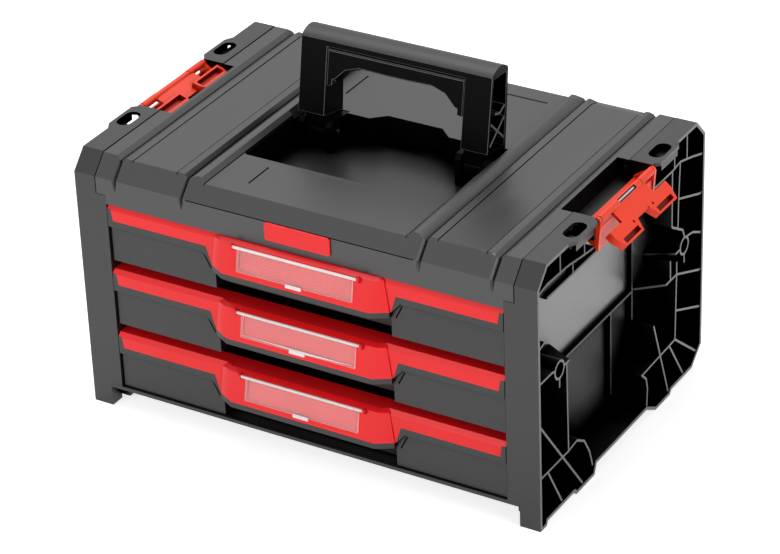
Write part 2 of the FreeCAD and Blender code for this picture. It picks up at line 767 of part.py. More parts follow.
def handle():
    side = handle_side()
    at_pivot = [(pivot_y + y, pivot_z + z) for y, z in side]
    crown = Part.makePolygon([placed("x", y, z, -handle_half) for y, z in at_pivot])
    top_mid = Vector(-handle_half, pivot_y + 13.0, pivot_z + grip_crown - 1.0)
    front_top = placed("x", at_pivot[0][0], at_pivot[0][1], -handle_half)
    back_top = placed("x", at_pivot[-1][0], at_pivot[-1][1], -handle_half)
    arc = Part.Arc(back_top, top_mid, front_top).toShape()
    face = Part.Face(Part.Wire(crown.Edges + [arc]))
    body = face.extrude(Vector(2 * handle_half, 0, 0))
    inner = leg_inner
    brow = pivot_z + grip_crown - grip_depth
    half_window = [
        (10.0, brow - 0.1), (inner - 33.0, brow + 0.6), (inner - 20.7, brow - 3.8), (inner - 11.4, brow - 14.7),
        (inner - 4.0, brow - 17.2), (inner, brow - 17.9), (inner, pocket_floor)]
    window = half_window + [(-x, z) for x, z in reversed(half_window)]
    crown_z = pivot_z + grip_crown
    corner = prism("y", [
        (handle_half - grip_corner, crown_z), (handle_half, crown_z - grip_corner),
        (handle_half + 1, crown_z - grip_corner), (handle_half + 1, crown_z + 1),
        (handle_half - grip_corner, crown_z + 1)], -half_depth, half_depth)
    body = body.cut([prism("y", window, -half_depth, half_depth), corner, mirrored(corner)])
    body = body.cut(rod("x", (pivot_y, pivot_z), lug_radius + lug_gap, -handle_half - 1, handle_half + 1))
    shell_side = inset(at_pivot, handle_shell)
    recess = prism("x", shell_side, inner + handle_shell, handle_half + 1)
    recess = recess.cut(rod("x", (pivot_y, pivot_z), lug_radius + lug_gap + handle_shell, 0, handle_half + 2))
    ribs = [[(5.2, 49.5), (13.0, 47.0), (22.5, 51.7)], [(21.7, 41.6), (-5.5, 22.7)], [(-2.5, 42.9), (19.7, 21.0)]]
    for path in ribs:
        at_leg = [(pivot_y + y, pivot_z + z) for y, z in path]
        recess = recess.cut(prism("x", ribbon(at_leg, rib_wall), 0, handle_half - 1))
    body = body.cut([recess, mirrored(recess)])
    hub_low = inner + hub_gap
    hub_high = handle_half - lug_inset - hub_gap
    neck_half = hub_radius - 1
    neck = prism("x", [
        (pivot_y - neck_half, pivot_z + 22), (pivot_y - neck_half, pivot_z),
        (pivot_y + neck_half, pivot_z), (pivot_y + neck_half, pivot_z + 16)], hub_low, hub_high)
    hub = rod("x", (pivot_y, pivot_z), hub_radius, hub_low, hub_high)
    body = joined([body, neck, hub, mirrored(neck), mirrored(hub)])
    bore = rod("x", (pivot_y, pivot_z), handle_pin_radius + pin_clearance, -handle_half, handle_half)
    flare_width, flare_depth = grip_flare
    front_y = pivot_y - 4.0
    flare = ruled("y", [
        (front_y - flare_depth, inset(window, -2 * flare_width)), (front_y + flare_depth, window)])
    flare = flare.common(block((6 - leg_inner, leg_inner - 6), (-half_depth, half_depth), (brow - 18, crown_z)))
    return body.cut([bore, flare] + grip_recess())


def handle_pin():
    """Steel hinge pin of one leg, with a six-sided head on its outer end."""
    outer = handle_half - lug_inset + lug_wall
    centre = (pivot_y, pivot_z)
    return joined([
        rod("x", centre, handle_pin_radius, lug_inner - handle_pin_proud, outer),
        sided("x", centre, handle_pin_head, outer, outer + 1.2)])


# Side latches, drawn flat along +X from their hinge line and then turned

def latch_root():
    """Section of the latch's plate and its eight-sided root as (x, z)."""
    high = latch_plate / 2
    flat = root_radius * math.tan(math.radians(22.5))
    return [
        (plate_reach, -high), (plate_reach, high - 1.2), (plate_reach - 2.4, high), (root_radius, high),
        (flat, root_radius), (-flat, root_radius), (-root_radius, flat), (-root_radius, -flat),
        (-flat, -root_radius), (flat, -root_radius), (root_radius, -high)]


def latch_tooth(side):
    """Tooth of a latch with cut-back corners, a pocket in its top and a hollow underneath."""
    high = latch_plate / 2
    low = high - tooth_depth
    end = notch_half - 0.7
    outline = [
        (tooth_start, tooth_inner), (plate_reach, tooth_inner), (latch_reach, tooth_inner + 5),
        (latch_reach, end - tooth_taper), (plate_reach, end), (tooth_start, end)]
    tooth = prism("z", [(x, side * y) for x, y in outline], low, high)
    start, stop, depth = tooth_pocket
    pocket = block((start, stop), (side * (tooth_inner + 6.5), side * (end - 7)), (high - depth, high + 1))
    hollow = block((tooth_start + 2, start - 1.5), (side * (tooth_inner + 3), side * (end - 3)), (low - 1, -high))
    hole = sided("z", (plate_reach - 0.5, side * (tooth_inner + 7)), tooth_hole, low, high + 1)
    return tooth.cut([pocket, hollow, hole])


def latch_flat():
    high = latch_plate / 2
    barrel_end = notch_half - latch_side_gap - latch_ear - latch_side_gap
    pieces = [prism("y", latch_root(), -barrel_start, barrel_start)]
    for side in (-1, 1):
        pieces.append(block((0, tooth_start + 2), (side * 22, side * plate_half), (-high, high)))
        pieces.append(latch_tooth(side))
        low_y, high_y = sorted((side * barrel_start, side * barrel_end))
        pieces.append(rod("y", (0, 0), barrel_radius, low_y, high_y))
    latch = joined(pieces)
    window = block((-latch_window[0], latch_window[0]), (-latch_window[1], latch_window[1]), (0, 5))
    return latch.cut([window, rod("y", (0, 0), latch_pin_radius + pin_clearance, -notch_half, notch_half)])


def latch(angle):
    """Right-hand latch turned to an angle above straight out."""
    shape = latch_flat()
    shape.rotate(Vector(0, 0, 0), Vector(0, 1, 0), -angle)
    shape.translate(Vector(latch_x, 0, latch_z))
    return shape


def latch_base():
    """Red hinge base: two ears joined by a bar on the notch's shelf and a plate outside it."""
    edge = half_width - shelf_reach
    bar_in = edge - 4.5
    plate_in = latch_x - 1.5
    plate_out = plate_in + base_plate
    foot = shelf_top - base_drop
    round_off = barrel_radius * 0.7
    ear = [
        (latch_x - barrel_radius, latch_z), (bar_in, shelf_top + 6), (bar_in, shelf_top),
        (edge + seam_gap, shelf_top), (edge + seam_gap, shelf_top - 4), (plate_in, foot + 2), (plate_in, foot),
        (plate_out, foot), (latch_x + barrel_radius, latch_z), (latch_x + round_off, latch_z + round_off),
        (latch_x, latch_z + barrel_radius), (latch_x - round_off, latch_z + round_off)]
    outer = notch_half - seam_gap
    inner = outer - latch_ear
    pieces = [
        block((bar_in, edge + 2), (-outer, outer), (shelf_top, shelf_top + 4.5)),
        block((plate_in, plate_out), (-outer, outer), (foot, latch_z - base_plate_gap))]
    for side in (-1, 1):
        low, high = sorted((side * inner, side * outer))
        pieces.append(prism("y", ear, low, high))
    base = joined(pieces)
    return base.cut(rod("y", (latch_x, latch_z), latch_pin_radius + pin_clearance, -notch_half, notch_half))


def latch_pin():
    return rod("y", (latch_x, latch_z), latch_pin_radius, -notch_half + 0.5, notch_half - 0.5)


# Drawers, made with their foot at z = 0 and lifted into place

def face_lean():
    """Lean of the bulge's front as an angle, and its place at a height."""
    drop = bulge_brow - bulge_foot
    return math.atan2(bulge_high[1][1] - bulge_low[1][1], drop)


def face_at(height):
    return bulge_low[1][1] + (height - bulge_foot) * math.tan(face_lean())


def on_face(down, out):
    """Point (y, z) down the bulge's face from the label hinge, and out from the face."""
    lean = face_lean()
    y = face_at(hinge_z) - down * math.sin(lean) - out * math.cos(lean)
    z = hinge_z - down * math.cos(lean) + out * math.sin(lean)
    return y, z


def bulge_section(corners, back):
    (side, side_y), (front, front_y) = corners
    return [(-side, back), (-side, side_y), (-front, front_y), (front, front_y), (side, side_y), (side, back)]


def panel_outline():
    """Front view of a tray's right-hand panel as (x, z)."""
    return [
        (wing_corner, wing_foot), (bulge_half + 1, bulge_foot), (panel_inner, bulge_foot - lip_height),
        (panel_inner, 0), (drawer_half - 0.8, 0), (drawer_half - 0.8, band_foot + 1),
        (drawer_half, band_foot + 2), (drawer_half, wing_shoulder + 0.5), (wing_end + 1.7, wing_shoulder + 0.5),
        (wing_end, wing_foot)]


def drawer_tray():
    """Dark tray with its two front panels, rims and pull lip."""
    pods = panel_inside
    half = [
        (tray_half, tray_back), (tray_half, pods), (panel_inner, pods), (panel_inner, tray_front)]
    plan = half + [(-x, y) for x, y in reversed(half)]
    box = prism("z", plan, 0, tray_height).cut(prism("z", inset(plan, tray_wall), tray_wall, tray_height + 1))
    outline = panel_outline()
    band = [
        (wing_corner, wing_foot), (bulge_half + 1, bulge_foot), (wing_corner + 4, band_foot),
        (drawer_half, band_foot), (drawer_half, wing_shoulder + 0.5), (wing_end + 1.7, wing_shoulder + 0.5),
        (wing_end, wing_foot)]
    pieces = [box]
    for shape in (prism("y", outline, panel_face, pods), prism("y", band, face_y, panel_face)):
        pieces += [shape, mirrored(shape)]
    lip = prism("z", bulge_section(bulge_low, pods), bulge_foot - lip_height, bulge_foot)
    (side, side_y), (front, front_y) = bulge_low
    room = [
        (-side + lip_wall, pods + 1), (-side + lip_wall, side_y + lip_wall / 2), (-front + 1, front_y + lip_wall),
        (front - 1, front_y + lip_wall), (side - lip_wall, side_y + lip_wall / 2), (side - lip_wall, pods + 1)]
    lip = lip.cut(prism("z", room, 0, bulge_foot + 1))
    pieces.append(lip)
    cuts = [prism("y", ribbon(panel_slit, 1.2), panel_face - 1, panel_face + 1.2)]
    for y in slide_screw_places():
        cuts.append(sided(
            "x", (y, slide_centre), slide_screw_radius + pin_clearance, tray_half - tray_wall + 0.3, tray_half + 1))
    return joined(pieces).cut(cuts + [mirrored(cut) for cut in cuts])


def drawer_front():
    """Red front: two wings, the bulge with its finger room, and the label's seat and ears."""
    wing = [
        (face_y, wing_foot), (face_y, wing_shoulder), (wing_back, front_height), (tray_front, front_height),
        (tray_front, tray_height + 0.5), (panel_face, tray_height + 0.5), (panel_face, wing_foot)]
    plate = prism("x", wing, -drawer_half, drawer_half)
    skirt = prism("y", [
        (-wing_corner, wing_foot), (wing_corner, wing_foot), (bulge_half + 1, bulge_foot),
        (-bulge_half - 1, bulge_foot)], face_y, panel_face)
    bulge = joined([
        ruled("z", [(bulge_foot, bulge_section(bulge_low, panel_face)),
                    (bulge_brow, bulge_section(bulge_high, panel_face))]),
        ruled("z", [(bulge_brow, bulge_section(bulge_high, panel_face)),
                    (front_height, bulge_section(bulge_top, panel_face + 0.5))])])
    low, high = [
        ((side_x - red_wall, side_y + red_wall), (front_x - 1.2, front_y + red_wall))
        for (side_x, side_y), (front_x, front_y) in (bulge_low, bulge_high)]
    room = ruled("z", [(bulge_foot - 1, bulge_section(low, panel_face + 2)),
                       (tray_height + 0.5, bulge_section(high, panel_face + 2))])
    tip = prism("y", [
        (wing_end, wing_foot - 1), (wing_end, wing_foot), (wing_end + 1.7, wing_shoulder + 0.5),
        (drawer_half + 1, wing_shoulder + 0.5), (drawer_half + 1, wing_foot - 1)], face_y - 1, panel_face)
    seat = prism("x", [
        on_face(label_drop[0] + 1, -label_recess), on_face(label_drop[1] - 1, -label_recess),
        on_face(label_drop[1] - 1, 2), on_face(label_drop[0] + 1, 2)], -label_half + 2, label_half - 2)
    front = joined([plate, skirt, bulge]).cut([room, seat, tip, mirrored(tip)])
    axis = on_face(0, label_gap + hinge_radius)
    ears = []
    for side in (-1, 1):
        low_x, high_x = sorted((side * (hinge_half + 0.4), side * (hinge_half + 0.4 + hinge_ear)))
        half = hinge_ear_half
        tip = label_gap + hinge_radius + half
        ears.append(prism("x", [
            on_face(-half, -1), on_face(half, -1), on_face(half, tip - half / 2), on_face(half / 2, tip),
            on_face(-half / 2, tip), on_face(-half, tip - half / 2)], low_x, high_x))
    bore = rod("x", axis, hinge_radius + pin_clearance, hinge_half, hinge_half + hinge_stub + 0.2)
    bores = [bore, mirrored(bore)]
    return joined([front] + ears).cut(bores)


def label_cover():
    """Clear flap on a hinge bar, with a raised rim and a pull tab."""
    axis = on_face(0, label_gap + hinge_radius)
    out = label_gap + label_plate
    plate = prism("x", [
        on_face(0, label_gap), on_face(label_drop[1], label_gap), on_face(label_drop[1], out), on_face(0, out)],
        -label_half, label_half)
    window = prism("x", [
        on_face(label_drop[0] + 2.5, out - 0.5), on_face(label_drop[1] - 2.0, out - 0.5),
        on_face(label_drop[1] - 2.0, out + 1), on_face(label_drop[0] + 2.5, out + 1)],
        -label_half + 2, label_half - 2)
    tab = prism("x", [
        on_face(label_drop[1] - 1, label_gap), on_face(label_drop[1] + 2.2, label_gap),
        on_face(label_drop[1] + 2.2, out + 0.6), on_face(label_drop[1] - 1, out + 0.6)],
        -label_tab_half, label_tab_half)
    bar = rod("x", axis, hinge_radius, -hinge_half - hinge_stub, hinge_half + hinge_stub)
    return joined([plate.cut(window), tab, bar])


# Telescopic slides: nested channels, each with its flanges rolled in towards the next one

def channel(depth_low, depth_high, half_height, lip, opens_out):
    """Channel along Y at its place across the slide; opens_out turns its mouth to the tray."""
    web_at = depth_low if opens_out else depth_high - slide_sheet
    mouth = depth_high - slide_sheet if opens_out else depth_low
    low = slide_front
    high = slide_front + slide_length
    pieces = [block((web_at, web_at + slide_sheet), (low, high), (-half_height, half_height))]
    for side in (-1, 1):
        edge = side * half_height
        pieces.append(block((depth_low, depth_high), (low, high), (edge - side * slide_sheet, edge)))
        pieces.append(block((mouth, mouth + slide_sheet), (low, high), (edge - side * lip, edge)))
    return joined(pieces)


def slide_members():
    """Outer, middle and inner members as (name, shape), measured from the inner wall."""
    outer_half = slide_height / 2
    middle_half = outer_half - middle_step
    inner_half = middle_half - inner_step
    middle_at = slide_sheet + outer_web_gap
    outer = channel(0, slide_thick - 3.2, outer_half, middle_step - ball_gap, True)
    middle = channel(middle_at, middle_at + slide_flange, middle_half, inner_step - ball_gap, True)
    inner = channel(slide_thick - inner_flange, slide_thick, inner_half, inner_lip, False)
    for y in slide_screw_places():
        outer = outer.cut([
            sided("x", (y, 0), slide_screw_radius + pin_clearance, -1, slide_sheet + 1),
            sided("x", (y, 0), slide_screw_head + pin_clearance, slide_sheet - slide_head_height, slide_sheet + 1)])
        inner = inner.cut(sided("x", (y, 0), slide_screw_radius + pin_clearance, slide_thick - 2, slide_thick + 1))
    return (("slide_outer", outer), ("slide_middle", middle), ("slide_inner", inner))


def slide_at(shape, foot):
    """A member laid against the right-hand wall at a drawer's height."""
    flipped = shape.mirror(Vector(0, 0, 0), Vector(1, 0, 0))
    flipped.translate(Vector(inner_face, 0, foot + slide_centre))
    return flipped


def frame_screws():
    """Screws at the bottom of the side frames' barrels, into the inner walls."""
    screws = []
    for side in (-1, 1):
        centre = (side * boss_y, boss_z)
        screws.append(joined([
            sided("x", centre, screw_head, web_out, web_out + screw_head_height),
            sided("x", centre, screw_radius, inner_face + 0.5, web_out + screw_head_height)]))
    return Part.makeCompound(screws + [mirrored(item) for item in screws])


def slide_screw_places():
    return (slide_front + slide_screw_ends, slide_front + slide_length - slide_screw_ends)


def slide_screws(foot):
    """Flush screws that hold a pair of outer members to the inner walls."""
    seat = inner_face - slide_sheet
    screws = []
    for y in slide_screw_places():
        centre = (y, foot + slide_centre)
        screws.append(joined([
            sided("x", centre, slide_screw_head, seat, seat + slide_head_height),
            sided("x", centre, slide_screw_radius, seat, inner_face + inner_wall_thick - 0.4)]))
    return screws + [mirrored(item) for item in screws]


def tray_screws(foot):
    """Pan-head screws that hold a pair of inner members to a tray."""
    seat = tray_half + slide_sheet
    screws = []
    for y in slide_screw_places():
        centre = (y, foot + slide_centre)
        screws.append(joined([
            sided("x", centre, slide_screw_head, seat, seat + 1.4),
            sided("x", centre, slide_screw_radius, tray_half - tray_wall + 0.4, seat + 1.4)]))
    return Part.makeCompound(screws + [mirrored(item) for item in screws])


def save(name, shape):
    shape.exportStep("parts/" + name + ".step")


def save_pair(name, shape):
    save(name + "_right", shape)
    save(name + "_left", mirrored(shape))


def main():
    os.makedirs("parts", exist_ok=True)
    save_pair("side_frame", side_frame())
    save_pair("inner_wall", inner_wall())
    save("top_cover", top_cover())
    save("back_panel", back_panel())
    save("bottom_panel", bottom_panel())
    save("badge", badge())
    save("handle", handle())
    save_pair("handle_pin", handle_pin())
    save("latch_right", latch(open_angle))
    save("latch_left", mirrored(latch(folded_angle)))
    save_pair("latch_base", latch_base())
    save_pair("latch_pin", latch_pin())
    save("frame_screws", frame_screws())
    feet = [first_foot + number * drawer_pitch for number in range(drawer_count)]
    save("slide_screws", Part.makeCompound([item for foot in feet for item in slide_screws(foot)]))
    tray = drawer_tray()
    front = drawer_front()
    label = label_cover()
    members = slide_members()
    for number, foot in enumerate(feet):
        lift = Vector(0, 0, foot)
        suffix = "_" + str(number + 1)
        save("drawer_tray" + suffix, tray.translated(lift))
        save("drawer_front" + suffix, front.translated(lift))
        save("label_cover" + suffix, label.translated(lift))
        save("tray_screws" + suffix, tray_screws(foot))
        for name, member in members:
            save_pair(name + suffix, slide_at(member, foot))


main()
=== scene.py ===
import json
import math

import bpy
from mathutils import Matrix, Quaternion, Vector


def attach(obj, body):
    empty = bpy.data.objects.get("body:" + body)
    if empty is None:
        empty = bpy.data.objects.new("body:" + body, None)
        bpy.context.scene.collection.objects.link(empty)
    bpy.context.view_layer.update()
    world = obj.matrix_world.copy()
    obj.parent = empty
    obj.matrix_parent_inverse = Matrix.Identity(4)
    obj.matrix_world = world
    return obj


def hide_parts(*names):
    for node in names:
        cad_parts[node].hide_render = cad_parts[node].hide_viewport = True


# Stackable tool box with three drawers, in metres.
# X runs across the front, -Y is the front, Z is up, and the floor is z = 0.
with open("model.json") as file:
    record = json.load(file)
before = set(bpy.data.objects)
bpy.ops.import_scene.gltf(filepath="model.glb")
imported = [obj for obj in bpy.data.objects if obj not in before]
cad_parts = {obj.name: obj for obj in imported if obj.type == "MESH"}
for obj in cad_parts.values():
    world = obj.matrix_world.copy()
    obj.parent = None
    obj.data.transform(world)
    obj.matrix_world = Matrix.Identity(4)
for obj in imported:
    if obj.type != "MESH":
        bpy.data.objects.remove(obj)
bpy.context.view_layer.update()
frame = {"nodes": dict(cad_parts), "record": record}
bpy.ops.object.select_all(action="DESELECT")


# Camera
# A long lens from the front right, above the box, as in the photograph.
# Its place is given by the direction back from the point it looks at.
MM = 0.001
camera_azimuth = math.radians(31.646)
camera_elevation = math.radians(30.008)
camera_roll = math.radians(-2.299)
camera_distance = 2.8605
camera_target = Vector((-1.31, -7.61, 110.02)) * MM
lens_mm = 150.6
film_mm = 36
bpy.ops.object.camera_add()
camera = bpy.context.object
back = Vector((
    math.sin(camera_azimuth) * math.cos(camera_elevation),
    -math.cos(camera_azimuth) * math.cos(camera_elevation),
    math.sin(camera_elevation)))
camera.location = camera_target + back * camera_distance
camera.rotation_mode = "QUATERNION"
camera.rotation_quaternion = (-back).to_track_quat("-Z", "Y")
camera.rotation_quaternion = camera.rotation_quaternion @ Quaternion((0, 0, 1), camera_roll)
camera.data.lens = lens_mm
camera.data.sensor_width = film_mm
bpy.context.scene.camera = camera


# Studio
# A wide pale floor, a white surround and three soft lamps, as for a catalogue picture.
# The lamps' sizes are in metres and their powers in watts.
box_middle = (0, 0, 0.15)
floor_width = 30
floor_glow = 0.7              # what the camera sees of the floor beyond its own light
surround_light = 0.25         # what the white surround gives the box


def linear(hex_colour):
    """sRGB hex to the linear colour that a shader takes."""
    channels = [int(hex_colour[i:i + 2], 16) / 255 for i in (1, 3, 5)]
    return [c / 12.92 if c <= 0.04045 else ((c + 0.055) / 1.055) ** 2.4 for c in channels] + [1]


def node(tree, kind, settings=(), links=()):
    """Adds a shader node, sets its values by socket or property name, and links its inputs."""
    made = tree.nodes.new(kind)
    for key, value in dict(settings).items():
        if isinstance(key, str) and hasattr(made, key):
            setattr(made, key, value)
        else:
            made.inputs[key].default_value = value
    for key, source in dict(links).items():
        tree.links.new(source, made.inputs[key])
    return made


def lamp(name, place, aim, size, power, colour):
    """A rectangular soft lamp that points at a place."""
    bpy.ops.object.light_add(type="AREA", location=place)
    light = bpy.context.object
    light.name = name
    light.rotation_mode = "QUATERNION"
    light.rotation_quaternion = (Vector(aim) - Vector(place)).to_track_quat("-Z", "Y")
    light.data.shape = "RECTANGLE"
    light.data.size = size[0]
    light.data.size_y = size[1]
    light.data.energy = power
    light.data.color = linear(colour)[:3]


lamp("top_softbox", (-0.5, 0.5, 2.2), box_middle, (1.8, 1.4), 30, "#ffffff")
lamp("front_softbox", (-0.6, -2.2, 0.9), box_middle, (1.4, 1.2), 18, "#fffaf6")
lamp("right_softbox", (2.2, -0.5, 0.8), box_middle, (1.0, 1.2), 16, "#f6faff")

bpy.ops.mesh.primitive_plane_add(size=floor_width, location=(0, 0, 0))
floor = bpy.context.object
floor.name = "studio_floor"


def studio_white(name):
    """Floor paint that the camera sees as near white, and that still takes the box's shadow."""
    material = bpy.data.materials.new(name)
    material.use_nodes = True
    tree = material.node_tree
    tree.nodes.clear()
    paint = node(tree, "ShaderNodeBsdfDiffuse", {"Color": linear("#f4f4f4")})
    glow = node(tree, "ShaderNodeEmission", {"Color": linear("#ffffff"), "Strength": floor_glow})
    seen = node(tree, "ShaderNodeLightPath")
    either = node(tree, "ShaderNodeMath", {"operation": "MAXIMUM"}, {
        0: seen.outputs["Is Camera Ray"], 1: seen.outputs["Is Glossy Ray"]})
    lit = node(tree, "ShaderNodeAddShader", {}, {0: paint.outputs[0], 1: glow.outputs[0]})
    mix = node(tree, "ShaderNodeMixShader", {}, {
        0: either.outputs[0], 1: paint.outputs[0], 2: lit.outputs[0]})
    node(tree, "ShaderNodeOutputMaterial", {}, {0: mix.outputs[0]})
    return material


floor.data.materials.append(studio_white("studio_floor_paint"))

world = bpy.data.worlds.new("studio_surround")
bpy.context.scene.world = world
world.use_nodes = True
sky = world.node_tree
sky.nodes.clear()
ambient = node(sky, "ShaderNodeBackground", {
    "Color": linear("#ffffff"), "Strength": surround_light})
backdrop = node(sky, "ShaderNodeBackground", {"Color": linear("#ffffff"), "Strength": 1.0})
ray = node(sky, "ShaderNodeLightPath")
seen_through = node(sky, "ShaderNodeMath", {"operation": "MAXIMUM"}, {
    0: ray.outputs["Is Camera Ray"], 1: ray.outputs["Is Transmission Ray"]})
shows = node(sky, "ShaderNodeMath", {"operation": "MAXIMUM"}, {
    0: seen_through.outputs[0], 1: ray.outputs["Is Glossy Ray"]})
surround = node(sky, "ShaderNodeMixShader", {}, {
    0: shows.outputs[0], 1: ambient.outputs[0], 2: backdrop.outputs[0]})
node(sky, "ShaderNodeOutputWorld", {}, {0: surround.outputs[0]})

bpy.context.scene.view_settings.view_transform = "Standard"


# Side frames
# Open ribbed mouldings in dark polypropylene, one each side, that the box stands on.
# Each is lined by a flat inner wall for the slides, and screwed to it through two barrels.
body_of_node = {
    name: body for body, members in frame["record"]["behaviour"]["bodies"].items()
    for name in members}
source_slot = {
    entry["node"]: entry["material_slot"] for entry in frame["record"]["subparts"]}
noise_range = (0.3, 0.7)      # most of a noise texture's values lie between these
cloud_mm = 60                 # size of the flow marks that the melt leaves
grain_depth = 0.08            # depth of the grain as a share of its size
grain_strength = 0.25
roughness_spread = 0.05
cell_reach_mm = 45.0          # the shade in a cell comes from walls within this
seam_reach_mm = 2.5           # the shade in a seam comes from walls within this
seam = (0.3, 0.8)             # open share of the view at which a seam's shade is full, and gone
plastic_ior = 1.49
merge_mm = 0.005
flat_angle = math.radians(0.5)
sharp_angle = math.radians(30)
smooth_angle = math.radians(32)
ease_segments = 2
round_segments = 4


def moulded_plastic(
        name, colour, roughness, grain_mm, mottle=0.06, sheen=0.5,
        cell_painted_shade=0.02, seam_painted_shade=0.1, cell=(0.45, 0.9)):
    """Plastic from a spark-eroded mould: a fine even grain, faint flow marks and painted shade in
    its hollows.

    The grain's pits are about 0.1 mm on the real box, too fine to show, so grain_mm is larger.
    Painted shade: where the walls around leave the open shares in cell, the colour and the sheen
    fade from the given dark share to full, and narrow seams darken the same way.
    """
    material = bpy.data.materials.new(name)
    material.use_nodes = True
    tree = material.node_tree
    shader = tree.nodes["Principled BSDF"]
    place = node(tree, "ShaderNodeTexCoord")
    grain = node(tree, "ShaderNodeTexNoise", {
        "Scale": 1 / (grain_mm * MM), "Detail": 3.0, "Roughness": 0.6}, {
        "Vector": place.outputs["Object"]})
    cloud = node(tree, "ShaderNodeTexNoise", {"Scale": 1 / (cloud_mm * MM), "Detail": 2.0}, {
        "Vector": place.outputs["Object"]})
    tint = node(tree, "ShaderNodeMapRange", {
        "From Min": noise_range[0], "From Max": noise_range[1],
        "To Min": 1 - mottle, "To Max": 1 + mottle}, {"Value": cloud.outputs["Fac"]})
    # Painted shade: ambient occlusion darkens the colour and lowers the sheen in cells and seams.
    hollow = node(tree, "ShaderNodeAmbientOcclusion", {
        "samples": 8, "only_local": True, "Distance": cell_reach_mm * MM})
    painted_cell_shade = node(tree, "ShaderNodeMapRange", {
        "From Min": cell[0], "From Max": cell[1], "To Min": cell_painted_shade, "To Max": 1.0}, {
        "Value": hollow.outputs["AO"]})
    crevice = node(tree, "ShaderNodeAmbientOcclusion", {
        "samples": 6, "Distance": seam_reach_mm * MM})
    painted_seam_shade = node(tree, "ShaderNodeMapRange", {
        "From Min": seam[0], "From Max": seam[1], "To Min": seam_painted_shade, "To Max": 1.0}, {
        "Value": crevice.outputs["AO"]})
    lit = node(tree, "ShaderNodeMath", {"operation": "MULTIPLY"}, {
        0: painted_cell_shade.outputs["Result"], 1: painted_seam_shade.outputs["Result"]})
    mottle_and_painted_shade = node(tree, "ShaderNodeMath", {"operation": "MULTIPLY"}, {
        0: tint.outputs["Result"], 1: lit.outputs["Value"]})
    shade = node(tree, "ShaderNodeVectorMath", {
        "operation": "SCALE", 0: linear(colour)[:3]}, {"Scale": mottle_and_painted_shade.outputs["Value"]})
    tree.links.new(shade.outputs["Vector"], shader.inputs["Base Color"])
    matt = node(tree, "ShaderNodeMapRange", {
        "From Min": noise_range[0], "From Max": noise_range[1],
        "To Min": roughness - roughness_spread, "To Max": roughness + roughness_spread}, {
        "Value": grain.outputs["Fac"]})
    tree.links.new(matt.outputs["Result"], shader.inputs["Roughness"])
    bump = node(tree, "ShaderNodeBump", {
        "Strength": grain_strength, "Distance": grain_mm * MM * grain_depth}, {
        "Height": grain.outputs["Fac"]})
    tree.links.new(bump.outputs["Normal"], shader.inputs["Normal"])
    shader.inputs["IOR"].default_value = plastic_ior
    shader.inputs["Specular IOR Level"].default_value = sheen
    sheen_with_painted_shade = node(tree, "ShaderNodeMath", {"operation": "MULTIPLY", 1: sheen}, {
        0: lit.outputs["Value"]})
    tree.links.new(sheen_with_painted_shade.outputs["Value"], shader.inputs["Specular IOR Level"])
    return material


def engraved(piece, cutters):
    """Cuts the boxes, given by their limits in millimetres, out of a piece."""
    for x, y, z in cutters:
        bpy.ops.object.select_all(action="DESELECT")
        middle = [sum(pair) / 2 * MM for pair in (x, y, z)]
        bpy.ops.mesh.primitive_cube_add(size=MM, location=middle)
        tool = bpy.context.object
        tool.scale = [pair[1] - pair[0] for pair in (x, y, z)]
        bpy.ops.object.transform_apply(location=True, rotation=True, scale=True)
        cut = piece.modifiers.new("engraving", "BOOLEAN")
        cut.operation = "DIFFERENCE"
        cut.solver = "EXACT"
        cut.object = tool
        bpy.ops.object.select_all(action="DESELECT")
        piece.select_set(True)
        bpy.context.view_layer.objects.active = piece
        bpy.ops.object.modifier_apply(modifier=cut.name)
        bpy.data.objects.remove(tool)


def rounded(piece, chosen, width_mm, material):
    """Rounds the sharp edges whose two ends pass a test, and gives the round its own material,
    which in this script is a painted highlight.
    """
    mesh = piece.data
    mesh.materials.append(material)
    bpy.ops.object.mode_set(mode="EDIT")
    bpy.ops.mesh.select_mode(type="EDGE")
    bpy.ops.mesh.select_all(action="DESELECT")
    bpy.ops.mesh.edges_select_sharp(sharpness=sharp_angle)
    bpy.ops.object.mode_set(mode="OBJECT")
    for edge in mesh.edges:
        ends = [mesh.vertices[i].co / MM for i in edge.vertices]
        edge.select = edge.select and chosen(*ends)
    bpy.ops.object.mode_set(mode="EDIT")
    bpy.ops.mesh.bevel(
        offset=width_mm * MM, segments=round_segments, affect="EDGES", clamp_overlap=True,
        material=len(mesh.materials) - 1)
    bpy.ops.object.mode_set(mode="OBJECT")


def finish(piece, material, chosen):
    """Gives a second finish to the faces whose middle and normal pass a test."""
    piece.data.materials.append(material)
    for face in piece.data.polygons:
        if chosen(face.center / MM, face.normal):
            face.material_index = len(piece.data.materials) - 1


